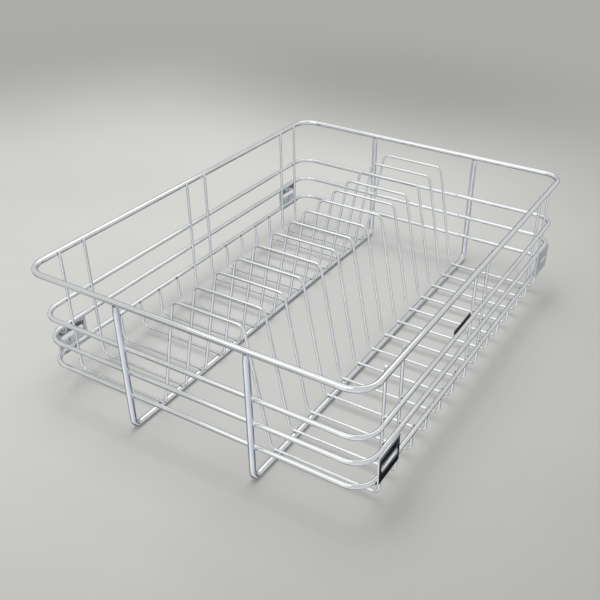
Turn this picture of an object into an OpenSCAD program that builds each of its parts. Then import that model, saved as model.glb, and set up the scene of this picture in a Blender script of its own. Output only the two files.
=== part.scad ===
// Pull-out basket for a base cabinet: a welded steel-wire rack for plates.
// Millimetres, +Z up. The origin is on the surface the basket stands on, under its middle.
// +Y points to the back of the cabinet and +X to the right. Every piece is a bent wire,
// except the four slotted slide brackets and the small label strip.

/* [Basket] */
// Outside width across the rim, along X
basket_w = 381; // [330:1:480]
// Outside length over the rim, along Y
basket_l = 508; // [490:1:560]
// Overall height, from the surface to the top of the rim
basket_h = 152.4; // [146:0.2:190]
// Radius of the corners of the rim and the side rings, to the wire's centre line
corner_r = 22; // [12:1:23]
// Height of the lowest side ring's centre line
low_ring_z = 39; // [32:0.5:42]
// Height step from one side ring to the next
ring_step = 28; // [24:0.5:30]

/* [Wires] */
// Diameter of the rim wire
rim_d = 6; // [5:0.5:8]
// Diameter of the three side rings
ring_d = 5; // [4:0.5:6]
// Diameter of the two runners the basket stands on
runner_d = 6.5; // [5:0.5:8]
// Diameter of the cross wires
cross_d = 3; // [2.5:0.1:4]
// How deep each weld sinks one wire into the next
weld_sink = 0.12; // [0.05:0.01:0.2]
// How deep a bracket or the strip sinks into a wire that it lies along
seam_sink = 0.01; // [0.005:0.005:0.02]

/* [Runners] */
// Distance between the two runners, centre to centre
runner_gap = 145; // [130:1:170]
// Bend radius where a runner turns up, to the wire's centre line
runner_bend_r = 9; // [6:0.5:14]

/* [Cross wires] */
// Distance from the front end of the basket to the first cross wire
row_front = 43; // [35:0.5:50]
// Distance from the last cross wire to the back end of the basket
row_back = 36; // [35:0.5:50]
// Height of a plate divider's top, to the wire's centre line
divider_z = 140; // [100:1:142]
// Length of a divider's top, from bend point to bend point
divider_top = 81; // [60:1:100]
// Distance from a runner's centre line in to the divider's foot, at its bend point
foot_in = 6.5; // [6:0.5:20]
// Bend radius at a divider's top corners, to the wire's centre line
top_bend_r = 8; // [4:0.5:14]
// Bend radius at a divider's feet, to the wire's centre line
foot_bend_r = 7; // [4:0.5:8]
// Bend radius where a cross wire turns up into the side wall, to the centre line
wall_bend_r = 7; // [4:0.5:10]
// How far below the rim's top the long cross wires stop
tip_drop = 1; // [0:0.5:2]

/* [Slide brackets] */
// Length of a slide bracket along the side of the basket
bracket_l = 40; // [36:1:60]
// Thickness of the bracket's sheet
bracket_t = 1.5; // [1:0.25:2]
// Distance from the end of the basket in to the middle of a bracket and its slot
bracket_in = 44.5; // [42:0.5:60]
// How far the bracket's top edge stands above the middle side ring's centre line
bracket_top_over = 1; // [0:0.25:2]
// Gap between a bracket's foot, folded in under the lowest ring, and the cross wires
foot_clear = 0.5; // [0.3:0.1:2]
// Length of the slot, end to end
slot_l = 31; // [16:0.5:32]
// Width of the slot
slot_w = 5.5; // [4.5:0.1:6.5]

/* [Label strip] */
// Length of the plain strip on the right side's upper ring
strip_l = 40; // [20:1:55]
// Height of the strip
strip_h = 6; // [5:0.5:8]
// Thickness of the strip
strip_t = 1.5; // [1:0.25:2]
// Distance from the strip's back end to the upright wire behind it
strip_gap = 5.5; // [2:0.5:30]

/* [Hidden] */
// Inner face of the side walls: the rim, the rings and the long cross wires meet here
wall_x = basket_w / 2 - rim_d;
rim_z = basket_h - rim_d / 2;
rim_x = basket_w / 2 - rim_d / 2;
rim_y = basket_l / 2 - rim_d / 2;
ring_x = wall_x + ring_d / 2;
// The side rings pass inside the runners' uprights, which stand under the rim
ring_y = rim_y - runner_d / 2 - ring_d / 2 + weld_sink;
ring_z = [low_ring_z, low_ring_z + ring_step, low_ring_z + 2 * ring_step];
runner_z = runner_d / 2;
floor_z = runner_d + cross_d / 2 - weld_sink;
tip_x = wall_x - cross_d / 2 + weld_sink;
wires = 14;
first_y = row_front - basket_l / 2;
wire_pitch = (basket_l - row_front - row_back) / (wires - 1);
plate_x = ring_x + ring_d / 2 - seam_sink;
foot_x = tip_x + cross_d / 2 + foot_clear;
foot_top = low_ring_z - ring_d / 2 + seam_sink;
bracket_low = foot_top - bracket_t;
bracket_high = ring_z[1] + bracket_top_over;
// A bend is this much thicker than its wire, and each straight runs this far into it,
// so that the two join without a seam
bend_grow = 0.02;
bend_lap = 0.25;

// ---- Bent wire ----
// A wire of diameter d is laid along the points p in the XY plane. r holds one bend
// radius for each point; the first and last are not used, because a wire ends there.

function heading(a, b) = atan2(b[1] - a[1], b[0] - a[0]);
function span(a, b) = norm([b[0] - a[0], b[1] - a[1]]);
// Turn at point i, between -180 and 180 degrees
function turn(p, i) = let (t = heading(p[i], p[i + 1]) - heading(p[i - 1], p[i]))
  t > 180 ? t - 360 : t < -180 ? t + 360 : t;
// Length that the bend at point i takes off each straight beside it
function cut(p, r, i) = i == 0 || i == len(p) - 1 ? 0 : r[i] * tan(abs(turn(p, i)) / 2);

module straight(a, b, from_a, to_b, d) {
  start = max(from_a - bend_lap, 0);
  stop = span(a, b) - max(to_b - bend_lap, 0);
  translate([a[0], a[1], 0]) rotate([0, 0, heading(a, b)]) translate([start, 0, 0])
    rotate([0, 90, 0]) cylinder(h = stop - start, d = d, $fn = 48);
}

// An arc of wire about the origin, from angle a0 through sweep degrees
module arc(r, d, a0, sweep) {
  rotate([0, 0, a0]) rotate_extrude(angle = sweep, $fn = 96)
    translate([r, 0]) circle(d = d, $fn = 48);
}

module bend(p, r, i, d) {
  t = turn(p, i);
  side = t > 0 ? 1 : -1;
  h = heading(p[i - 1], p[i]);
  c = cut(p, r, i);
  translate([p[i][0] - c * cos(h) - side * r[i] * sin(h),
             p[i][1] - c * sin(h) + side * r[i] * cos(h), 0])
    if (side > 0) arc(r[i], d + bend_grow, h - 90, t);
    else arc(r[i], d + bend_grow, h + 90 + t, -t);
}

module bent_wire(p, r, d) {
  n = len(p) - 1;
  for (i = [0:n - 1]) straight(p[i], p[i + 1], cut(p, r, i), cut(p, r, i + 1), d);
  for (i = [1:n - 1]) bend(p, r, i, d);
}

// ---- Rim and side rings ----

module ring(x, y, z, d) {
  translate([0, 0, z]) {
    for (s = [-1, 1]) {
      translate([s * x, 0, 0]) rotate([90, 0, 0])
        cylinder(h = 2 * (y - corner_r), d = d, center = true, $fn = 48);
      translate([0, s * y, 0]) rotate([0, 90, 0])
        cylinder(h = 2 * (x - corner_r), d = d, center = true, $fn = 48);
    }
    for (a = [0:90:270]) {
      flip = a % 180 == 0 ? 0 : 1;
      rotate([0, 0, a])
        translate([(flip == 0 ? x : y) - corner_r, (flip == 0 ? y : x) - corner_r, 0])
          arc(corner_r, d, 0, 90);
    }
  }
}

module side_ring(i) color([0.80, 0.81, 0.83]) ring(ring_x, ring_y, ring_z[i], ring_d);

module top_rim() color([0.82, 0.83, 0.85]) ring(rim_x, rim_y, rim_z, rim_d);
module upper_side_ring() side_ring(2);
module middle_side_ring() side_ring(1);
module lower_side_ring() side_ring(0);

// ---- Runners: a long U, whose ends stand up under the rim ----

module runner(x) {
  top = rim_z - rim_d / 2 + weld_sink;
  color([0.76, 0.77, 0.79]) translate([x, 0, 0]) rotate([90, 0, 90])
    bent_wire([[-rim_y, top], [-rim_y, runner_z], [rim_y, runner_z], [rim_y, top]],
              [0, runner_bend_r, runner_bend_r, 0], runner_d);
}

module left_runner() runner(-runner_gap / 2);
module right_runner() runner(runner_gap / 2);

// ---- Cross wires: each makes the floor, one plate divider and two wall ends ----
// A long one runs on up both walls to the rim; a short one stops at the lowest ring.

function wire_y(n) = first_y + (n - 1) * wire_pitch;

module cross_wire(n, long) {
  tip = long ? basket_h - tip_drop : low_ring_z;
  foot = runner_gap / 2 - foot_in;
  top = divider_top / 2;
  color([0.84, 0.85, 0.87]) translate([0, wire_y(n), 0]) rotate([90, 0, 0])
    bent_wire([[-tip_x, tip], [-tip_x, floor_z], [-foot, floor_z], [-top, divider_z],
               [top, divider_z], [foot, floor_z], [tip_x, floor_z], [tip_x, tip]],
              [0, wall_bend_r, foot_bend_r, top_bend_r,
               top_bend_r, foot_bend_r, wall_bend_r, 0], cross_d);
}

module cross_wire_01() cross_wire(1, true);
module cross_wire_02() cross_wire(2, true);
module cross_wire_03() cross_wire(3, false);
module cross_wire_04() cross_wire(4, false);
module cross_wire_05() cross_wire(5, false);
module cross_wire_06() cross_wire(6, false);
module cross_wire_07() cross_wire(7, true);
module cross_wire_08() cross_wire(8, true);
module cross_wire_09() cross_wire(9, false);
module cross_wire_10() cross_wire(10, false);
module cross_wire_11() cross_wire(11, false);
module cross_wire_12() cross_wire(12, false);
module cross_wire_13() cross_wire(13, true);
module cross_wire_14() cross_wire(14, true);

// ---- Slide brackets: a slotted plate outside two rings, folded in under the lower one ----

module bracket(side, end) {
  high = bracket_high - bracket_low;
  depth = plate_x - foot_x;
  color([0.55, 0.56, 0.58]) mirror([side > 0 ? 0 : 1, 0, 0])
    translate([plate_x, end * (basket_l / 2 - bracket_in), bracket_low]) difference() {
      union() {
        translate([0, -bracket_l / 2, 0]) cube([bracket_t, bracket_l, high]);
        translate([-depth, -bracket_l / 2, 0]) cube([depth + bracket_t / 2, bracket_l, bracket_t]);
      }
      for (s = [-1, 1]) translate([-1, s * (slot_l - slot_w) / 2, high / 2])
        rotate([0, 90, 0]) cylinder(h = bracket_t + 2, d = slot_w, $fn = 48);
      translate([-1, -(slot_l - slot_w) / 2, (high - slot_w) / 2])
        cube([bracket_t + 2, slot_l - slot_w, slot_w]);
    }
}

module front_left_bracket() bracket(-1, -1);
module front_right_bracket() bracket(1, -1);
module back_left_bracket() bracket(-1, 1);
module back_right_bracket() bracket(1, 1);

// ---- Label strip: plain, on the inner face of the right side's upper ring ----

module label_strip() color([0.06, 0.06, 0.07])
  translate([wall_x - strip_t + seam_sink, wire_y(7) - cross_d / 2 - strip_gap - strip_l,
             ring_z[2] - strip_h / 2])
    cube([strip_t, strip_l, strip_h]);

top_rim();
upper_side_ring();
middle_side_ring();
lower_side_ring();
left_runner();
right_runner();
cross_wire_01();
cross_wire_02();
cross_wire_03();
cross_wire_04();
cross_wire_05();
cross_wire_06();
cross_wire_07();
cross_wire_08();
cross_wire_09();
cross_wire_10();
cross_wire_11();
cross_wire_12();
cross_wire_13();
cross_wire_14();
front_left_bracket();
front_right_bracket();
back_left_bracket();
back_right_bracket();
label_strip();
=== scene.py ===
"""The looks of a pull-out cabinet basket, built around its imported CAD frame.

Bent and welded bright-chrome wire: a rim, three side rings, two floor runners and a row of
cross wires that make the floor, the plate dividers and the walls. Four slotted sheet brackets
stand outside the rings, and one black plastic strip lies on the right side's upper ring.
The basket's sizes are in millimetres, as in the part's source, and MM turns them into metres.
"""

import math

import bmesh
import bpy
from mathutils import Matrix, Vector


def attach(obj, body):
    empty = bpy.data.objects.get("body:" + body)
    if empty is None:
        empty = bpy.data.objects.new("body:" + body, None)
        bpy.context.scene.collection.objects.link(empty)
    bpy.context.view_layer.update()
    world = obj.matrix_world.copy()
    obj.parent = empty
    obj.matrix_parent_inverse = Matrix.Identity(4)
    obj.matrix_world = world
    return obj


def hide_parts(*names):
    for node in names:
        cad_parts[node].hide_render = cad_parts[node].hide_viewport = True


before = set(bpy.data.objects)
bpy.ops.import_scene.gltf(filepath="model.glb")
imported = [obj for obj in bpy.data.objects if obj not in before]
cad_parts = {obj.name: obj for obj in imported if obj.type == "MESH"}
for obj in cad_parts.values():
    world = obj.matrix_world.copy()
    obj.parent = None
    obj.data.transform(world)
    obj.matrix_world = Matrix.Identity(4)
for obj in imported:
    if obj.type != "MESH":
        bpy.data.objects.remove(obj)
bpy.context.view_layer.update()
MM = 0.001

# ---- Sizes, in millimetres ----
# The whole basket, and the bends at its four corners
BASKET_W, BASKET_L, BASKET_H, CORNER_R = 381, 508, 152.4, 22
# Diameters of the wires
RIM_D, RING_D, RUNNER_D, CROSS_D = 6, 5, 6.5, 3
# How deep a weld sinks one wire into the next, and a bracket or the strip into its ring
WELD_SINK, SEAM_SINK = 0.12, 0.01
# Height of the lowest side ring, the step up to the next, and how many there are
LOW_RING_Z, RING_STEP, RINGS = 39, 28, 3
# How many runners there are, how far apart they are, and the bends at their ends
RUNNERS, RUNNER_GAP, RUNNER_BEND_R = 2, 145, 9
# How many cross wires there are, where the first one lies, and how far apart they are
WIRES, FIRST_Y, PITCH = 14, -211, 33
# Of every six cross wires, the first two run up to the rim
LONG_EVERY, LONG_RUN = 6, 2
# A plate divider's height, the length of its top, and how far its feet are in from the runners
DIVIDER_Z, DIVIDER_TOP, FOOT_IN = 140, 81, 6.5
# Bends at a divider's top, at its feet, and where the wire turns up the wall
TOP_BEND_R, FOOT_BEND_R, WALL_BEND_R = 8, 7, 7
# How far below the rim's top the long cross wires stop
TIP_DROP = 1
# Over what length a cross wire's cut end draws in, and how much of a wire's thickness is left there
DRESSED_L, DRESSED_SHARE = 0.4, 0.8
# How far a divider's top may lean out of line
LEAN = 0.7
# A bracket's length, its sheet, how far its middle is in from the basket's end, and its slot
BRACKET_L, BRACKET_T, BRACKET_IN = 40, 1.5, 44.5
SLOT_L, SLOT_W = 31, 5.5
# How far a bracket reaches over the middle of the second ring, and its lip's gap to the cross wires
BRACKET_TOP_OVER, FOOT_CLEAR = 1, 0.5
# A bracket's fold on its inner side, the corners of its blank, and its eased edges
FOLD_R, BLANK_R, BRACKET_EASE = 1.0, 1.6, 0.22
# The plain strip, its gap to the long cross wire behind it, and that wire's number
STRIP_L, STRIP_H, STRIP_T, STRIP_GAP, STRIP_WIRE = 40, 6, 1.5, 5.5, 7
STRIP_EASE = 0.35
# A ball of weld flash before it is squeezed flat, and the height and width of its lumps
FLASH_R, LUMP_H, LUMP_W = 1.75, 0.5, 1.5
# The smallest and the largest ball, as shares of it
FLASH_LEAST, FLASH_MOST = 0.85, 1.15

WALL_X = BASKET_W / 2 - RIM_D
RIM_Z = BASKET_H - RIM_D / 2
RIM_X = BASKET_W / 2 - RIM_D / 2
RIM_Y = BASKET_L / 2 - RIM_D / 2
RING_X = WALL_X + RING_D / 2
RING_Y = RIM_Y - RUNNER_D / 2 - RING_D / 2 + WELD_SINK
RING_ZS = [LOW_RING_Z + i * RING_STEP for i in range(RINGS)]
RUNNER_X, RUNNER_Z = RUNNER_GAP / 2, RUNNER_D / 2
RUNNER_TOP = RIM_Z - RIM_D / 2 + WELD_SINK
FLOOR_Z = RUNNER_D + CROSS_D / 2 - WELD_SINK
TIP_X = WALL_X - CROSS_D / 2 + WELD_SINK
PLATE_X = RING_X + RING_D / 2 - SEAM_SINK
FOOT_X = TIP_X + CROSS_D / 2 + FOOT_CLEAR
BRACKET_LOW = LOW_RING_Z - RING_D / 2 - BRACKET_T
BRACKET_HIGH = LOW_RING_Z + RING_STEP + BRACKET_TOP_OVER

# ---- Fineness of the meshes ----
# Sides of each wire's round section
RIM_FACETS, RING_FACETS, RUNNER_FACETS, CROSS_FACETS = 20, 18, 20, 12
# Points that each bend of a wire gets, and the millimetres between two points of a straight
BEND_POINTS, STRAIGHT_STEP = 9, 6
# Steps round a bracket's corner, the end of its slot and its fold
CORNER_STEPS, SLOT_END_STEPS, FOLD_STEPS = 6, 12, 8
# How often a ball of weld flash is subdivided
FLASH_LEVELS = 3
# A bracket's edges are eased where its faces meet at more than the first angle, and sheet and strip
# are shaded smooth where theirs meet at less than the second
EASE_OVER, SMOOTH_UNDER = math.radians(60), math.radians(28)

# ---- Seeds of the random draws: each divider's lean, and the size of each ball of flash ----
LEAN_SEED, FLASH_SEED = 11, 3

# ---- Numbers of the node sockets that share a name with others of their node ----
# The two colours of a Mix node, the ends of a Random Value node's range, and the whole numbers that
# a Compare node compares
COLOUR_A, COLOUR_B = 6, 7
RANDOM_LOW, RANDOM_HIGH = 2, 3
WHOLE_A, WHOLE_B = 2, 3


def wire_y(number):
    """Place of a cross wire along the basket, counted from the front."""
    return FIRST_Y + (number - 1) * PITCH


def is_long(number):
    """Whether a cross wire runs up to the rim."""
    return (number - 1) % LONG_EVERY < LONG_RUN


# ---- Helpers ----
def linear(hex_colour):
    """An sRGB hex colour as a linear RGBA value."""
    parts = [int(hex_colour[i : i + 2], 16) / 255 for i in (1, 3, 5)]
    return [c / 12.92 if c <= 0.04045 else ((c + 0.055) / 1.055) ** 2.4 for c in parts] + [1.0]


def add(tree, kind, inputs=None, **settings):
    """Adds one node. The settings are its properties. Each input is a value, a socket, or a node
    whose first live output is taken."""
    node = tree.nodes.new(kind)
    for name, value in settings.items():
        setattr(node, name, value)
    for key, value in (inputs or {}).items():
        if isinstance(value, bpy.types.Node):
            value = next(s for s in value.outputs if s.enabled)
        if isinstance(value, bpy.types.NodeSocket):
            tree.links.new(value, node.inputs[key])
        else:
            node.inputs[key].default_value = value
    return node


def new_tree(name, inputs):
    """A Geometry Nodes tree with a geometry input and output and the named inputs."""
    tree = bpy.data.node_groups.new(name, "GeometryNodeTree")
    tree.interface.new_socket("Geometry", in_out="INPUT", socket_type="NodeSocketGeometry")
    for label, (kind, value) in inputs.items():
        socket = tree.interface.new_socket(label, in_out="INPUT", socket_type=kind)
        if value is not None:
            socket.default_value = value
    tree.interface.new_socket("Geometry", in_out="OUTPUT", socket_type="NodeSocketGeometry")
    return tree, add(tree, "NodeGroupInput").outputs


def show(name, data):
    """A new object in the scene, for a mesh, a lamp or a camera."""
    made = bpy.data.objects.new(name, data)
    bpy.context.scene.collection.objects.link(made)
    return made


def grow(name, source, tree, values):
    """Runs a tree on a source mesh and keeps the result as a plain mesh object of its own."""
    carrier = show(name + "_source", source)
    modifier = carrier.modifiers.new("Build", "NODES")
    modifier.node_group = tree
    sockets = {s.name: s.identifier for s in tree.interface.items_tree if s.in_out == "INPUT"}
    for label, value in values.items():
        modifier[sockets[label]] = value
    bpy.context.view_layer.update()
    depsgraph = bpy.context.evaluated_depsgraph_get()
    mesh = bpy.data.meshes.new_from_object(carrier.evaluated_get(depsgraph), depsgraph=depsgraph)
    mesh.name = name
    bpy.data.objects.remove(carrier)
    return show(name, mesh)


def finished(name, bm, material):
    """Closes a bmesh into an object, smooth except at its sharp edges."""
    mesh = bpy.data.meshes.new(name)
    bm.to_mesh(mesh)
    bm.free()
    mesh.materials.append(material)
    mesh.set_sharp_from_angle(angle=SMOOTH_UNDER)
    return show(name, mesh)


def place(piece, slot, *nodes):
    """A finished piece rides on the basket's one body and stands for its CAD nodes."""
    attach(piece, "root")
    if nodes:
        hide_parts(*nodes)


# ---- Materials ----
# Sizes on the metal and the plastic, in millimetres. Real drawing lines, orange peel and grain are
# finer. They are drawn as coarse as they need to be to show at the photograph's scale
HAZE_SIZE, DUST_SIZE = 38, 3
LINE_GAP, LINE_L, LINE_DEPTH = 0.35, 45, 0.02
STRIP_LINE_GAP, STRIP_LINE_DEPTH = 0.5, 0.04
GRAIN_SIZE, GRAIN_DEPTH, PEEL_DEPTH = 0.6, 0.12, 0.03
# On sheet and on the strip the lines run along Y: their gap as a share of their length
SHEET_SQUEEZE, STRIP_SQUEEZE = 0.02, 0.05
# Roughness of clean plate, and what a worn line adds to it, as shares of what full haze adds
CLEAN_SHARE, WORN_SHARE = 0.8, 1.6


def new_material(name):
    """A material whose node tree is still empty."""
    material = bpy.data.materials.new(name)
    material.use_nodes = True
    material.node_tree.nodes.clear()
    return material, material.node_tree


def chrome_plate(name, bright, dull, rough, drawn, peel_size, along_wire):
    """Decorative chrome plate over nickel: a mirror with a cool cast, whose shine is broken by the
    base metal under it, by faint wiping haze and by fine scratches from use."""
    material, tree = new_material(name)
    on_piece = add(tree, "ShaderNodeTexCoord").outputs["Object"]
    haze = add(tree, "ShaderNodeTexNoise", {
        "Vector": on_piece, "Scale": 1 / (HAZE_SIZE * MM), "Detail": 3.0, "Roughness": 0.55})
    cloud = add(tree, "ShaderNodeMapRange", {"Value": haze, "From Min": 0.35, "From Max": 0.7})
    if along_wire:
        # The wire carries its own coordinates: the place on its round section, and the length so far
        section = add(tree, "ShaderNodeAttribute", attribute_name="section")
        along = add(tree, "ShaderNodeAttribute", attribute_name="along")
        split = add(tree, "ShaderNodeSeparateXYZ", {0: section.outputs["Vector"]})
        run = add(tree, "ShaderNodeMath", {
            0: along.outputs["Fac"], 1: LINE_GAP / LINE_L}, operation="MULTIPLY")
        lines_at = add(tree, "ShaderNodeCombineXYZ", {
            0: split.outputs["X"], 1: split.outputs["Y"], 2: run})
    else:
        lines_at = add(tree, "ShaderNodeMapping", {
            "Vector": on_piece, "Scale": (1, SHEET_SQUEEZE, 1)})
    lines = add(tree, "ShaderNodeTexNoise", {
        "Vector": lines_at, "Scale": 1 / (LINE_GAP * MM), "Detail": 2.0, "Roughness": 0.6})
    peel = add(tree, "ShaderNodeTexNoise", {
        "Vector": on_piece, "Scale": 1 / (peel_size * MM), "Detail": 2.0, "Roughness": 0.5})
    wear = add(tree, "ShaderNodeMapRange", {"Value": lines, "From Min": 0.52, "From Max": 0.8})
    colour = add(tree, "ShaderNodeMix", {
        0: cloud, COLOUR_A: linear(bright), COLOUR_B: linear(dull)}, data_type="RGBA")
    hazed = add(tree, "ShaderNodeMath", {
        0: cloud, 1: rough, 2: rough * CLEAN_SHARE}, operation="MULTIPLY_ADD")
    worn = add(tree, "ShaderNodeMath", {
        0: wear, 1: rough * WORN_SHARE, 2: hazed}, operation="MULTIPLY_ADD")
    line_bump = add(tree, "ShaderNodeBump", {
        "Strength": drawn, "Distance": LINE_DEPTH * MM, "Height": lines})
    peel_bump = add(tree, "ShaderNodeBump", {
        "Strength": 0.35, "Distance": PEEL_DEPTH * MM, "Height": peel, "Normal": line_bump})
    shader = add(tree, "ShaderNodeBsdfPrincipled", {
        "Base Color": colour, "Metallic": 1.0, "Roughness": worn, "Normal": peel_bump})
    add(tree, "ShaderNodeOutputMaterial", {"Surface": shader})
    return material


def weld_metal():
    """Resistance weld flash under the plate: dull, lumpy and darker than the wire."""
    material, tree = new_material("plated_weld_flash")
    on_piece = add(tree, "ShaderNodeTexCoord").outputs["Object"]
    grain = add(tree, "ShaderNodeTexNoise", {
        "Vector": on_piece, "Scale": 1 / (GRAIN_SIZE * MM), "Detail": 3.0})
    colour = add(tree, "ShaderNodeMix", {
        0: grain, COLOUR_A: linear("#55585D"), COLOUR_B: linear("#94979C")}, data_type="RGBA")
    rough = add(tree, "ShaderNodeMapRange", {"Value": grain, "To Min": 0.2, "To Max": 0.4})
    bump = add(tree, "ShaderNodeBump", {
        "Strength": 0.7, "Distance": GRAIN_DEPTH * MM, "Height": grain})
    shader = add(tree, "ShaderNodeBsdfPrincipled", {
        "Base Color": colour, "Metallic": 1.0, "Roughness": rough, "Normal": bump})
    add(tree, "ShaderNodeOutputMaterial", {"Surface": shader})
    return material


def strip_plastic():
    """Extruded black polypropylene: near-black, satin, with fine lines along its length."""
    material, tree = new_material("extruded_black_polypropylene")
    on_piece = add(tree, "ShaderNodeTexCoord").outputs["Object"]
    lines_at = add(tree, "ShaderNodeMapping", {
        "Vector": on_piece, "Scale": (1, STRIP_SQUEEZE, 1)})
    lines = add(tree, "ShaderNodeTexNoise", {
        "Vector": lines_at, "Scale": 1 / (STRIP_LINE_GAP * MM), "Detail": 3.0})
    dust = add(tree, "ShaderNodeTexNoise", {
        "Vector": on_piece, "Scale": 1 / (DUST_SIZE * MM), "Detail": 4.0})
    colour = add(tree, "ShaderNodeMix", {
        0: dust, COLOUR_A: linear("#0B0B0C"), COLOUR_B: linear("#1B1C1E")}, data_type="RGBA")
    rough = add(tree, "ShaderNodeMapRange", {"Value": lines, "To Min": 0.38, "To Max": 0.58})
    bump = add(tree, "ShaderNodeBump", {
        "Strength": 0.4, "Distance": STRIP_LINE_DEPTH * MM, "Height": lines})
    shader = add(tree, "ShaderNodeBsdfPrincipled", {
        "Base Color": colour, "Roughness": rough, "IOR": 1.49, "Normal": bump})
    add(tree, "ShaderNodeOutputMaterial", {"Surface": shader})
    return material


RIM_CHROME = chrome_plate(
    "bright_chrome_rim_wire", bright="#F3F4F4", dull="#E6E8E9", rough=0.06, drawn=0.25,
    peel_size=2.2, along_wire=True)
CROSS_CHROME = chrome_plate(
    "bright_chrome_cross_wire", bright="#F3F4F4", dull="#E7E9EA", rough=0.07, drawn=0.25,
    peel_size=1.6, along_wire=True)
RUNNER_CHROME = chrome_plate(
    "bright_chrome_runner_wire", bright="#F2F3F5", dull="#E4E6E9", rough=0.06, drawn=0.25,
    peel_size=2.4, along_wire=True)
SHEET_CHROME = chrome_plate(
    "bright_chrome_pressed_sheet", bright="#E6E8EB", dull="#D6D9DD", rough=0.09, drawn=0.35,
    peel_size=1.4, along_wire=False)
WELD_METAL = weld_metal()
STRIP_BLACK = strip_plastic()


# ---- Bent wire ----
def round_bends(tree, given):
    """First stage: the paths become curves with round bends and points all along them."""
    curve = add(tree, "GeometryNodeMeshToCurve", {0: given["Geometry"]})
    bend = add(tree, "GeometryNodeInputNamedAttribute", {"Name": "bend"}, data_type="FLOAT")
    rounded = add(tree, "GeometryNodeFilletCurve", {
        "Curve": curve, "Count": BEND_POINTS, "Radius": bend}, mode="POLY")
    # Long straights get points of their own, so that the shine stays even along them
    here = add(tree, "GeometryNodeInputPosition")
    number = add(tree, "GeometryNodeInputIndex")
    after = add(tree, "GeometryNodeOffsetPointInCurve", {"Point Index": number, "Offset": 1})
    there = add(tree, "GeometryNodeFieldAtIndex", {
        "Index": after.outputs["Point Index"], "Value": here},
        data_type="FLOAT_VECTOR", domain="POINT")
    gap = add(tree, "ShaderNodeVectorMath", {0: here, 1: there}, operation="DISTANCE")
    cuts = add(tree, "ShaderNodeMath", {
        0: gap.outputs["Value"], 1: given["Straight Step"]}, operation="DIVIDE")
    whole = add(tree, "ShaderNodeMath", {0: cuts}, operation="FLOOR")
    return add(tree, "GeometryNodeSubdivideCurve", {"Curve": rounded, "Cuts": whole})


def repeat_paths(tree, given, paths):
    """Second stage: every place of the row or stack gets either the marked paths or the plain ones."""
    mark = add(tree, "GeometryNodeInputNamedAttribute", {"Name": "mark"}, data_type="FLOAT")
    marked = add(tree, "FunctionNodeCompare", {
        0: mark, 1: 0.5}, data_type="FLOAT", operation="GREATER_THAN")
    parts = add(tree, "GeometryNodeSeparateGeometry", {
        "Geometry": paths, "Selection": marked}, domain="CURVE")
    line = add(tree, "GeometryNodeMeshLine", {
        "Count": given["Copies"], "Offset": given["Step"]}, mode="OFFSET")
    number = add(tree, "GeometryNodeInputIndex")
    beat = add(tree, "ShaderNodeMath", {0: number, 1: given["Every"]}, operation="MODULO")
    chosen = add(tree, "FunctionNodeCompare", {
        0: beat, 1: given["Run"]}, data_type="FLOAT", operation="LESS_THAN")
    others = add(tree, "FunctionNodeBooleanMath", {0: chosen}, operation="NOT")
    both = add(tree, "GeometryNodeJoinGeometry")
    for part, places in (("Selection", chosen), ("Inverted", others)):
        row = add(tree, "GeometryNodeInstanceOnPoints", {
            "Points": line, "Instance": parts.outputs[part], "Selection": places})
        tree.links.new(row.outputs[0], both.inputs[0])
    return both


def lean_copies(tree, given, copies):
    """Third stage: each copy leans a little, as hand-loaded bends do, nothing at its foot and most
    at its top. Only what lies within Lean Width of the middle leans."""
    number = add(tree, "GeometryNodeInputIndex")
    draw = add(tree, "FunctionNodeRandomValue", {
        RANDOM_LOW: -1.0, RANDOM_HIGH: 1.0, "Seed": given["Seed"], "ID": number}, data_type="FLOAT")
    tagged = add(tree, "GeometryNodeStoreNamedAttribute", {
        "Geometry": copies, "Name": "lean", "Value": draw}, data_type="FLOAT", domain="INSTANCE")
    loose = add(tree, "GeometryNodeRealizeInstances", {0: tagged})
    here = add(tree, "GeometryNodeInputPosition")
    split = add(tree, "ShaderNodeSeparateXYZ", {0: here})
    rise = add(tree, "ShaderNodeMapRange", {
        "Value": split.outputs["Z"], "From Min": FLOOR_Z * MM, "From Max": given["Lean Height"]})
    side = add(tree, "ShaderNodeMath", {0: split.outputs["X"]}, operation="ABSOLUTE")
    inside = add(tree, "ShaderNodeMath", {0: side, 1: given["Lean Width"]}, operation="LESS_THAN")
    amount = add(tree, "GeometryNodeInputNamedAttribute", {"Name": "lean"}, data_type="FLOAT")
    for factor in (rise, inside, given["Lean"]):
        amount = add(tree, "ShaderNodeMath", {0: amount, 1: factor}, operation="MULTIPLY")
    shift = add(tree, "ShaderNodeCombineXYZ", {1: amount})
    return add(tree, "GeometryNodeSetPosition", {"Geometry": loose, "Offset": shift})


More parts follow.
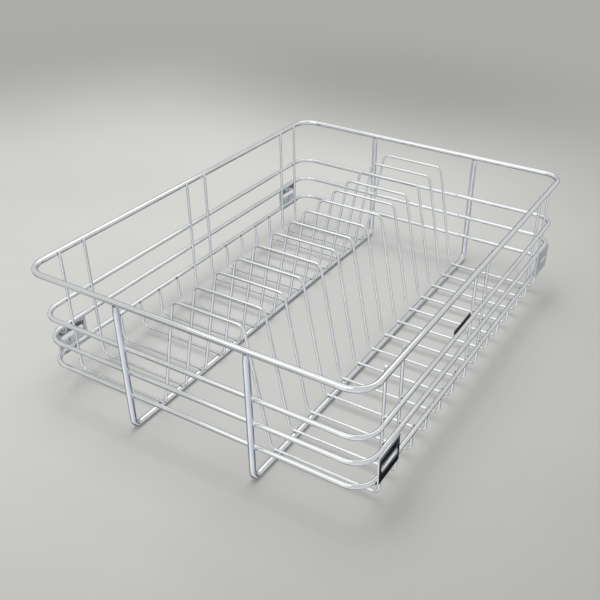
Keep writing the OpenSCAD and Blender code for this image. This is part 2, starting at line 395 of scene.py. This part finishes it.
def sweep_wire(tree, given, lines):
    """Last stage: a round section swept along the lines, with flat caps and dressed cut ends. It
    keeps the length along the wire and the place on its section, for the drawing lines."""
    ends = add(tree, "GeometryNodeCurveEndpointSelection")
    cyclic = add(tree, "GeometryNodeInputSplineCyclic")
    open_end = add(tree, "FunctionNodeBooleanMath", {0: ends, 1: cyclic}, operation="NIMPLY")
    even = add(tree, "GeometryNodeSetCurveRadius", {"Curve": lines, "Radius": 1.0})
    dressed = add(tree, "GeometryNodeSetCurveRadius", {
        "Curve": even, "Selection": open_end, "Radius": DRESSED_SHARE})
    run = add(tree, "GeometryNodeSplineParameter")
    measured = add(tree, "GeometryNodeStoreNamedAttribute", {
        "Geometry": dressed, "Name": "along", "Value": run.outputs["Length"]},
        data_type="FLOAT", domain="POINT")
    radius = add(tree, "ShaderNodeMath", {0: given["Wire Diameter"], 1: 0.5}, operation="MULTIPLY")
    circle = add(tree, "GeometryNodeCurvePrimitiveCircle", {
        "Resolution": given["Facets"], "Radius": radius})
    here = add(tree, "GeometryNodeInputPosition")
    section = add(tree, "GeometryNodeStoreNamedAttribute", {
        "Geometry": circle, "Name": "section", "Value": here},
        data_type="FLOAT_VECTOR", domain="POINT")
    thickness = add(tree, "GeometryNodeInputRadius")
    swept = add(tree, "GeometryNodeCurveToMesh", {
        "Curve": measured, "Profile Curve": section, "Scale": thickness, "Fill Caps": True})
    # The side faces have four corners each, and only the caps have more
    sides = add(tree, "GeometryNodeInputMeshFaceNeighbors")
    flat_cap = add(tree, "FunctionNodeCompare", {
        WHOLE_A: sides.outputs["Vertex Count"], WHOLE_B: 4},
        data_type="INT", operation="GREATER_THAN")
    smooth = add(tree, "GeometryNodeSetShadeSmooth", {"Geometry": swept, "Shade Smooth": True})
    return add(tree, "GeometryNodeSetShadeSmooth", {
        "Geometry": smooth, "Selection": flat_cap, "Shade Smooth": False})


def wire_tree():
    """Tree that lays bent wire along marked paths, in a row or a stack. Of every Every places the
    first Run ones get the paths marked 1, and the others get the rest."""
    tree, given = new_tree("bent wire", {
        "Wire Diameter": ("NodeSocketFloat", CROSS_D * MM),
        "Copies": ("NodeSocketInt", 1),
        "Step": ("NodeSocketVector", (0, 0, 0)),
        "Every": ("NodeSocketInt", 1),
        "Run": ("NodeSocketInt", 1),
        "Facets": ("NodeSocketInt", CROSS_FACETS),
        "Straight Step": ("NodeSocketFloat", STRAIGHT_STEP * MM),
        "Lean": ("NodeSocketFloat", 0.0),
        "Lean Height": ("NodeSocketFloat", DIVIDER_Z * MM),
        "Lean Width": ("NodeSocketFloat", 0.0),
        "Seed": ("NodeSocketInt", 0),
        "Material": ("NodeSocketMaterial", None),
    })
    copies = repeat_paths(tree, given, round_bends(tree, given))
    wire = sweep_wire(tree, given, lean_copies(tree, given, copies))
    done = add(tree, "GeometryNodeSetMaterial", {"Geometry": wire, "Material": given["Material"]})
    add(tree, "NodeGroupOutput", {0: done})
    return tree


def wire_paths(*paths):
    """A mesh of wire paths. Each is (points, bend radii, closed, mark), in millimetres."""
    mesh = bpy.data.meshes.new("paths")
    points, edges, bends, marks = [], [], [], []
    for path, radii, closed, mark in paths:
        first = len(points)
        points += [Vector(p) * MM for p in path]
        bends += [r * MM for r in radii]
        marks += [mark] * len(path)
        edges += [(first + i, first + i + 1) for i in range(len(path) - 1)]
        if closed:
            edges.append((first + len(path) - 1, first))
    mesh.from_pydata(points, edges, [])
    mesh.attributes.new("bend", "FLOAT", "POINT").data.foreach_set("value", bends)
    mesh.attributes.new("mark", "FLOAT", "POINT").data.foreach_set("value", marks)
    return mesh


def loop_path(x, y, z):
    """The four corners of the rim or a ring, as one closed path."""
    corners = [(x, y, z), (-x, y, z), (-x, -y, z), (x, -y, z)]
    return corners, [CORNER_R] * len(corners), True, 1


def runner_path():
    """The left runner: up under the rim at each end, and along the floor between."""
    side = [(-RIM_Y, RUNNER_TOP, 0), (-RIM_Y, RUNNER_Z, RUNNER_BEND_R),
            (RIM_Y, RUNNER_Z, RUNNER_BEND_R), (RIM_Y, RUNNER_TOP, 0)]
    return [(-RUNNER_X, y, z) for y, z, _ in side], [r for _, _, r in side], False, 1


def cross_path(long):
    """One cross wire: up a wall, over the floor, over a plate divider and up the other wall."""
    tip = BASKET_H - TIP_DROP if long else LOW_RING_Z
    half = [(DIVIDER_TOP / 2, DIVIDER_Z, TOP_BEND_R), (RUNNER_X - FOOT_IN, FLOOR_Z, FOOT_BEND_R),
            (TIP_X, FLOOR_Z, WALL_BEND_R), (TIP_X, tip - DRESSED_L, 0), (TIP_X, tip, 0)]
    other_half = [(-x, z, r) for x, z, r in reversed(half)]
    whole = other_half + half
    return [(x, FIRST_Y, z) for x, z, _ in whole], [r for _, _, r in whole], False, int(long)


WIRE_TREE = wire_tree()

rim = grow("rim_wire", wire_paths(loop_path(RIM_X, RIM_Y, RIM_Z)), WIRE_TREE, {
    "Wire Diameter": RIM_D * MM, "Facets": RIM_FACETS, "Material": RIM_CHROME})
place(rim, "rim_and_ring_wire", "top_rim")

rings = grow("side_ring_wires", wire_paths(loop_path(RING_X, RING_Y, LOW_RING_Z)), WIRE_TREE, {
    "Wire Diameter": RING_D * MM, "Facets": RING_FACETS, "Copies": RINGS,
    "Step": (0, 0, RING_STEP * MM), "Material": RIM_CHROME})
place(rings, "rim_and_ring_wire", "upper_side_ring", "middle_side_ring", "lower_side_ring")

runners = grow("floor_runner_wires", wire_paths(runner_path()), WIRE_TREE, {
    "Wire Diameter": RUNNER_D * MM, "Facets": RUNNER_FACETS, "Copies": RUNNERS,
    "Step": (RUNNER_GAP * MM, 0, 0), "Material": RUNNER_CHROME})
place(runners, "runner_wire", "left_runner", "right_runner")

cross = grow("cross_wires", wire_paths(cross_path(False), cross_path(True)), WIRE_TREE, {
    "Wire Diameter": CROSS_D * MM, "Facets": CROSS_FACETS, "Copies": WIRES,
    "Step": (0, PITCH * MM, 0), "Every": LONG_EVERY, "Run": LONG_RUN, "Lean": LEAN * MM,
    "Lean Height": DIVIDER_Z * MM, "Lean Width": (RUNNER_X - FOOT_IN) * MM, "Seed": LEAN_SEED,
    "Material": CROSS_CHROME})
place(cross, "cross_wire", *["cross_wire_%02d" % n for n in range(1, WIRES + 1)])


# ---- Welds ----
def weld_tree():
    """Tree that squeezes a small lump of weld flash out of every crossing that it is given."""
    tree, given = new_tree("weld flash", {
        "Flash Radius": ("NodeSocketFloat", FLASH_R * MM),
        "Lumpiness": ("NodeSocketFloat", LUMP_H * MM),
        "Seed": ("NodeSocketInt", FLASH_SEED),
        "Material": ("NodeSocketMaterial", None),
    })
    ball = add(tree, "GeometryNodeMeshIcoSphere", {
        "Radius": given["Flash Radius"], "Subdivisions": FLASH_LEVELS})
    size = add(tree, "GeometryNodeInputNamedAttribute", {"Name": "size"}, data_type="FLOAT_VECTOR")
    number = add(tree, "GeometryNodeInputIndex")
    spread = add(tree, "FunctionNodeRandomValue", {
        RANDOM_LOW: FLASH_LEAST, RANDOM_HIGH: FLASH_MOST, "Seed": given["Seed"], "ID": number},
        data_type="FLOAT")
    scale = add(tree, "ShaderNodeVectorMath", {0: size, "Scale": spread}, operation="SCALE")
    set_down = add(tree, "GeometryNodeInstanceOnPoints", {
        "Points": given["Geometry"], "Instance": ball, "Scale": scale})
    solid = add(tree, "GeometryNodeRealizeInstances", {0: set_down})
    # The noise's middle is near 0.55, so the lumps stand out about as far as the hollows sink in
    lump = add(tree, "ShaderNodeTexNoise", {"Scale": 1 / (LUMP_W * MM), "Detail": 1.0})
    centred = add(tree, "ShaderNodeMath", {0: lump, 1: 0.55}, operation="SUBTRACT")
    push = add(tree, "ShaderNodeMath", {0: centred, 1: given["Lumpiness"]}, operation="MULTIPLY")
    normal = add(tree, "GeometryNodeInputNormal")
    outward = add(tree, "ShaderNodeVectorMath", {0: normal, "Scale": push}, operation="SCALE")
    lumpy = add(tree, "GeometryNodeSetPosition", {"Geometry": solid, "Offset": outward})
    smooth = add(tree, "GeometryNodeSetShadeSmooth", {"Geometry": lumpy, "Shade Smooth": True})
    done = add(tree, "GeometryNodeSetMaterial", {
        "Geometry": smooth, "Material": given["Material"]})
    add(tree, "NodeGroupOutput", {0: done})
    return tree


def crossings():
    """Every place where two wires are welded, with the flash's size along X, Y and Z."""
    on_runner, on_wall, on_upright = (1.0, 1.0, 0.45), (0.45, 1.0, 1.0), (1.0, 0.5, 1.0)
    under_rim = (1.5, 1.5, 0.6)
    upright_y = RIM_Y - RUNNER_D / 2
    found = []
    for n in range(1, WIRES + 1):
        y = wire_y(n)
        heights = RING_ZS + [RIM_Z] if is_long(n) else [LOW_RING_Z]
        for side in (-1, 1):
            found.append(((side * RUNNER_X, y, RUNNER_D), on_runner))
            found += [((side * WALL_X, y, z), on_wall) for z in heights]
    for side in (-1, 1):
        for end in (-1, 1):
            found += [((side * RUNNER_X, end * upright_y, z), on_upright) for z in RING_ZS]
            found.append(((side * RUNNER_X, end * RIM_Y, RIM_Z - RIM_D / 2), under_rim))
    return found


def weld_points(welds):
    """A mesh with one point for each weld, which carries the flash's size."""
    mesh = bpy.data.meshes.new("crossings")
    mesh.from_pydata([Vector(p) * MM for p, _ in welds], [], [])
    sizes = [share for _, size in welds for share in size]
    mesh.attributes.new("size", "FLOAT_VECTOR", "POINT").data.foreach_set("vector", sizes)
    return mesh


flash = grow("weld_flash", weld_points(crossings()), weld_tree(), {"Material": WELD_METAL})
place(flash, "rim_and_ring_wire")


# ---- Slide brackets ----
def arc(y, z, r, start, turn, steps):
    """Points on an arc round (y, z), from the angle start on, in degrees from +Y towards +Z."""
    angles = [math.radians(start + turn * i / steps) for i in range(steps + 1)]
    return [(y + r * math.cos(a), z + r * math.sin(a)) for a in angles]


def outline(bm, points):
    """The edges of a closed outline in the plane of the sheet."""
    verts = [bm.verts.new((0, y, z)) for y, z in points]
    return [bm.edges.new((verts[i], verts[(i + 1) % len(verts)])) for i in range(len(verts))]


def bracket_sheet(side, end):
    """A punched blank, folded in along its lower edge: built flat, thickened, then bent."""
    high = BRACKET_HIGH - BRACKET_LOW
    upright = high - BRACKET_T - FOLD_R
    lip = PLATE_X + BRACKET_T - FOOT_X - BRACKET_T - FOLD_R
    middle_r = FOLD_R + BRACKET_T / 2
    fold_l = middle_r * math.pi / 2

    # The flat blank: z runs up the plate, below 0 it is the fold and then the lip
    far_y, top_z, low_z = BRACKET_L / 2 - BLANK_R, upright - BLANK_R, -(fold_l + lip) + BLANK_R
    corners = ((far_y, top_z), (-far_y, top_z), (-far_y, low_z), (far_y, low_z))
    blank = []
    for quarter, (y, z) in enumerate(corners):
        blank += arc(y, z, BLANK_R, 90 * quarter, 90, CORNER_STEPS)
    slot_r, slot_y, slot_z = SLOT_W / 2, (SLOT_L - SLOT_W) / 2, high / 2 - (high - upright)
    slot = arc(slot_y, slot_z, slot_r, -90, 180, SLOT_END_STEPS)
    slot += arc(-slot_y, slot_z, slot_r, 90, 180, SLOT_END_STEPS)
    bm = bmesh.new()
    bmesh.ops.triangle_fill(bm, edges=outline(bm, blank) + outline(bm, slot), use_beauty=True)
    for i in range(FOLD_STEPS + 1):
        bmesh.ops.bisect_plane(
            bm, geom=bm.verts[:] + bm.edges[:] + bm.faces[:],
            plane_co=(0, 0, -fold_l * i / FOLD_STEPS), plane_no=(0, 0, 1))

    # Thickened outwards, so that the first faces are the inner side, and its edges eased
    bmesh.ops.recalc_face_normals(bm, faces=bm.faces)
    if sum(f.normal.x for f in bm.faces) < 0:
        bmesh.ops.reverse_faces(bm, faces=bm.faces)
    made = bmesh.ops.extrude_face_region(bm, geom=bm.faces[:])["geom"]
    for v in made:
        if isinstance(v, bmesh.types.BMVert):
            v.co.x += BRACKET_T
    bmesh.ops.recalc_face_normals(bm, faces=bm.faces)
    sharp = [e for e in bm.edges if len(e.link_faces) == 2 and e.calc_face_angle(0) > EASE_OVER]
    bmesh.ops.bevel(
        bm, geom=sharp, offset=BRACKET_EASE, segments=2, profile=0.6, affect="EDGES")

    # Bent round the fold, where across counts from the middle of the sheet
    for v in bm.verts:
        across, z = v.co.x - BRACKET_T / 2, v.co.z
        if z < 0:
            turn = min(-z / fold_l, 1) * math.pi / 2
            rest = max(-z - fold_l, 0)
            r = middle_r + across
            v.co.x = BRACKET_T / 2 - middle_r + r * math.cos(turn) - rest * math.sin(turn)
            v.co.z = -r * math.sin(turn) - rest * math.cos(turn)

    # Moved to its place, and mirrored on the left side
    bmesh.ops.translate(bm, verts=bm.verts, vec=(0, 0, BRACKET_LOW + high - upright))
    middle_y = end * (BASKET_L / 2 - BRACKET_IN)
    for v in bm.verts:
        v.co = Vector(((PLATE_X + v.co.x) * side, v.co.y + middle_y, v.co.z)) * MM
    bmesh.ops.recalc_face_normals(bm, faces=bm.faces)
    return bm


for side, side_name in ((-1, "left"), (1, "right")):
    for end, end_name in ((-1, "front"), (1, "back")):
        name = "%s_%s_bracket" % (end_name, side_name)
        bracket = finished(name + "_sheet", bracket_sheet(side, end), SHEET_CHROME)
        place(bracket, "bracket_sheet", name)


# ---- Label strip ----
def plain_strip():
    """A short extruded strip with eased edges, flat on the ring's inner face."""
    bm = bmesh.new()
    bmesh.ops.create_cube(bm, size=1)
    size = (STRIP_T, STRIP_L, STRIP_H)
    back_y = wire_y(STRIP_WIRE) - CROSS_D / 2 - STRIP_GAP
    low = Vector((WALL_X - STRIP_T + SEAM_SINK, back_y - STRIP_L, RING_ZS[-1] - STRIP_H / 2))
    for v in bm.verts:
        v.co = Vector(low[i] + (v.co[i] + 0.5) * size[i] for i in range(3))
    bmesh.ops.bevel(
        bm, geom=bm.edges[:], offset=STRIP_EASE, segments=3, profile=0.5, affect="EDGES")
    bmesh.ops.scale(bm, verts=bm.verts, vec=(MM, MM, MM))
    return bm


strip = finished("label_strip_plain", plain_strip(), STRIP_BLACK)
place(strip, "strip_plastic", "label_strip")


# ---- Floor, in metres ----
BACKDROP = "#ACACA8"
# Half of the floor's side, and how far it lies under the runners
FLOOR_REACH, FLOOR_DROP = 6.0, 0.0002
# The middle of a pool of light painted on the floor, and between which distances from it the painted
# light falls off
PAINTED_LIGHT_SPOT, NEAR_PAINTED_LIGHT, FAR_PAINTED_LIGHT = (-0.36, 0.06, 0), 0.45, 1.4
# The same for a shade painted behind the basket's far end: its middle, the distances over which it
# fades, and the share of the colour left at its middle
PAINTED_SHADE_SPOT, NEAR_PAINTED_SHADE, FAR_PAINTED_SHADE, PAINTED_SHADE_SHARE = (-0.36, 0.98, 0), 0.1, 0.62, 0.7
# Distances from the middle of the painted pool of light between which the floor fades into the
# backdrop
NEAR_FADE, FAR_FADE = 0.42, 1.4
# Faint clouds on the floor: their size, and the darkest and lightest share
CLOUD_SIZE, CLOUD_DARK, CLOUD_LIGHT = 0.2, 0.95, 1.05


def floor_material():
    """Pale matt floor with light and shade painted on: a painted pool of light to the left of the
    basket that turns darker further off, and painted shade behind the basket.
    """
    material, tree = new_material("plain_pale_floor")
    on_floor = add(tree, "ShaderNodeTexCoord").outputs["Object"]
    away = add(tree, "ShaderNodeVectorMath", {0: on_floor, 1: PAINTED_LIGHT_SPOT}, operation="DISTANCE")
    far = add(tree, "ShaderNodeMapRange", {
        "Value": away.outputs["Value"], "From Min": NEAR_PAINTED_LIGHT, "From Max": FAR_PAINTED_LIGHT})
    # Painted light: the floor's colour is lighter in a pool to the left of the basket and darker away
    # from it
    plain = add(tree, "ShaderNodeMix", {
        0: far, COLOUR_A: linear("#D0D0CD"), COLOUR_B: linear("#A2A29E")}, data_type="RGBA")
    cloud = add(tree, "ShaderNodeTexNoise", {
        "Vector": on_floor, "Scale": 1 / CLOUD_SIZE, "Detail": 5.0})
    soft = add(tree, "ShaderNodeMapRange", {
        "Value": cloud, "To Min": CLOUD_DARK, "To Max": CLOUD_LIGHT})
    # Painted shade: the floor's colour is darkened round a place behind the basket's far end
    behind = add(tree, "ShaderNodeVectorMath", {0: on_floor, 1: PAINTED_SHADE_SPOT}, operation="DISTANCE")
    painted_shade = add(tree, "ShaderNodeMapRange", {
        "Value": behind.outputs["Value"], "From Min": NEAR_PAINTED_SHADE, "From Max": FAR_PAINTED_SHADE,
        "To Min": PAINTED_SHADE_SHARE}, interpolation_type="SMOOTHSTEP")
    cloud_and_painted_shade = add(tree, "ShaderNodeMath", {0: soft, 1: painted_shade}, operation="MULTIPLY")
    colour = add(tree, "ShaderNodeVectorMath", {0: plain, "Scale": cloud_and_painted_shade}, operation="SCALE")
    shader = add(tree, "ShaderNodeBsdfPrincipled", {
        "Base Color": colour, "Roughness": 0.8, "Specular IOR Level": 0.2})
    # Far from the basket the floor fades into the plain background, for the camera only
    ray = add(tree, "ShaderNodeLightPath")
    fade = add(tree, "ShaderNodeMapRange", {
        "Value": away.outputs["Value"], "From Min": NEAR_FADE, "From Max": FAR_FADE},
        interpolation_type="SMOOTHSTEP")
    amount = add(tree, "ShaderNodeMath", {
        0: fade, 1: ray.outputs["Is Camera Ray"]}, operation="MULTIPLY")
    backdrop = add(tree, "ShaderNodeEmission", {"Color": linear(BACKDROP), "Strength": 1.0})
    faded = add(tree, "ShaderNodeMixShader", {0: amount, 1: shader, 2: backdrop})
    add(tree, "ShaderNodeOutputMaterial", {"Surface": faded})
    return material


corners = [(x * FLOOR_REACH, y * FLOOR_REACH, 0) for x, y in ((-1, -1), (1, -1), (1, 1), (-1, 1))]
floor_mesh = bpy.data.meshes.new("floor")
floor_mesh.from_pydata(corners, [], [(0, 1, 2, 3)])
floor_mesh.materials.append(floor_material())
floor = show("floor", floor_mesh)
floor.location.z = -FLOOR_DROP
floor.visible_glossy = False  # the painted reflections of the panels stand for it in the metal

# ---- Light ----
# Painted reflections: what polished metal sees round it, panels that light nothing and are seen only
# in metal. Each has its middle (azimuth from +Y towards +X, and elevation), the radius of its flat
# part and the radius where it has faded out, all in degrees, and its colour. Later panels lie over
# earlier ones
PAINTED_REFLECTION_PANELS = [
    (-28, -33, 32, 64, "#88898C"),
    (-90, 88, 24, 46, "#CFD1D2"),  # overhead
    (-110, -78, 12, 36, "#6A6C70"),
    (74, -33, 9, 24, "#A0A2A8"),
    (-161, 31, 8, 18, "#FFFFFF"),
    (-164, 2, 6, 20, "#EEF1F4"),
    (152, -35, 16, 38, "#E4E8F2"),  # painted pale reflection down the middle of the near uprights
    (-158, -34, 9, 18, "#FFFFFF"),
    (-146, -17, 6, 14, "#303236"),  # painted dark reflection in the lower band of the near rim and rings
    (-128, -48, 4, 13, "#7C7E82"),
    (40, -4, 4, 14, "#BABCBE"),
    (35, -25, 4, 10, "#5A5C60"),
    (14, -28, 5, 12, "#A6A8AA"),
    (25.5, -43.3, 6, 12, "#15161A"),  # painted black reflection on the outer face of the front right bracket
    (51, -39, 4, 9, "#505256"),
    (-97, -33, 7, 16, "#1E2024"),  # painted dark reflection at the near uprights' left edge
    (112, -33, 10, 26, "#CCD0DC"),
]
LOW_PALE, HIGH_PALE = "#D2D2D0", "#D8DADA"  # between the panels, under and over the horizon
EVEN_LIGHT = 0.51  # strength of the white light that the world gives from all round


def painted_reflections_in_metal(tree):
    """The painted reflections: the colour that metal sees in each direction."""
    looking = add(tree, "ShaderNodeTexCoord").outputs["Generated"]
    split = add(tree, "ShaderNodeSeparateXYZ", {0: looking})
    horizon = add(tree, "ShaderNodeMapRange", {
        "Value": split.outputs["Z"], "From Min": -0.15, "From Max": 0.25})
    mixed = add(tree, "ShaderNodeMix", {
        0: horizon, COLOUR_A: linear(LOW_PALE), COLOUR_B: linear(HIGH_PALE)}, data_type="RGBA")
    for azimuth, elevation, flat, faded, colour in PAINTED_REFLECTION_PANELS:
        a, e = math.radians(azimuth), math.radians(elevation)
        middle = (math.sin(a) * math.cos(e), math.cos(a) * math.cos(e), math.sin(e))
        facing = add(tree, "ShaderNodeVectorMath", {0: looking, 1: middle}, operation="DOT_PRODUCT")
        amount = add(tree, "ShaderNodeMapRange", {
            "Value": facing.outputs["Value"], "From Min": math.cos(math.radians(faded)),
            "From Max": math.cos(math.radians(flat))}, interpolation_type="SMOOTHSTEP")
        mixed = add(tree, "ShaderNodeMix", {
            0: amount, COLOUR_A: mixed, COLOUR_B: linear(colour)}, data_type="RGBA")
    return mixed


def studio():
    """The world: even white light for matt things, the plain backdrop for the camera and for what is
    seen through something clear, and painted reflections of the panels for polished metal."""
    world = bpy.data.worlds.new("studio")
    world.use_nodes = True
    tree = world.node_tree
    tree.nodes.clear()
    ray = add(tree, "ShaderNodeLightPath").outputs
    lit = add(tree, "ShaderNodeBackground", {"Color": linear("#FFFFFF"), "Strength": EVEN_LIGHT})
    shown = add(tree, "ShaderNodeBackground", {"Color": linear(BACKDROP), "Strength": 1.0})
    mirrored = add(tree, "ShaderNodeBackground", {"Color": painted_reflections_in_metal(tree), "Strength": 1.0})
    straight = add(tree, "ShaderNodeMath", {
        0: ray["Is Camera Ray"], 1: ray["Is Transmission Ray"]}, operation="MAXIMUM")
    plain = add(tree, "ShaderNodeMixShader", {0: straight, 1: lit, 2: shown})
    either = add(tree, "ShaderNodeMixShader", {0: ray["Is Glossy Ray"], 1: plain, 2: mirrored})
    add(tree, "ShaderNodeOutputWorld", {"Surface": either})
    return world


def softbox(name, place_at, size, watts, mirrored=True):
    """A rectangular lamp that shines straight down. Places and sizes are in metres."""
    data = bpy.data.lights.new(name, "AREA")
    data.shape = "RECTANGLE"
    data.size, data.size_y = size
    data.energy = watts
    lamp = show(name, data)
    lamp.location = place_at
    lamp.visible_glossy = mirrored


bpy.context.scene.world = studio()
softbox("overhead_softbox", (-0.27, 0.24, 1.6), size=(1.15, 1.3), watts=11.7, mirrored=False)
softbox("front_softbox", (-0.24, -0.62, 1.13), size=(0.86, 0.7), watts=2.15)
softbox("back_softbox", (-0.265, 0.55, 0.98), size=(1.13, 0.6), watts=1.45)

# ---- Camera, at the photograph's viewpoint ----
# Angles in degrees, the place in millimetres, and the focal length and the point that the camera
# faces in pixels of the photograph's square frame
AZIMUTH, ELEVATION, ROLL = 29.160, 33.600, -1.263
VIEWPOINT = (406.047, -681.480, 535.726)
FRAME_PX, FOCAL_PX, CENTRE_PX = 600, 798.008, (344.278, 324.789)
SENSOR_W = 36


def photo_camera():
    """The camera, turned from its angles and shifted so that its middle falls on CENTRE_PX."""
    az, el, ro = map(math.radians, (AZIMUTH, ELEVATION, ROLL))
    forward = Vector((-math.sin(az) * math.cos(el), math.cos(az) * math.cos(el), -math.sin(el)))
    right = Vector((math.cos(az), math.sin(az), 0))
    down = forward.cross(right)
    across = right * math.cos(ro) + down * math.sin(ro)
    up = -(down * math.cos(ro) - right * math.sin(ro))
    lens = bpy.data.cameras.new("camera")
    lens.sensor_width = SENSOR_W
    lens.lens = FOCAL_PX / FRAME_PX * SENSOR_W
    lens.shift_x = (FRAME_PX / 2 - CENTRE_PX[0]) / FRAME_PX
    lens.shift_y = (CENTRE_PX[1] - FRAME_PX / 2) / FRAME_PX
    lens.clip_start, lens.clip_end = 0.01, 50
    camera = show("camera", lens)
    turned = Matrix((across, up, -forward)).transposed().to_4x4()
    camera.matrix_world = Matrix.Translation(Vector(VIEWPOINT) * MM) @ turned
    return camera


bpy.context.scene.camera = photo_camera()
bpy.context.scene.view_settings.view_transform = "Standard"
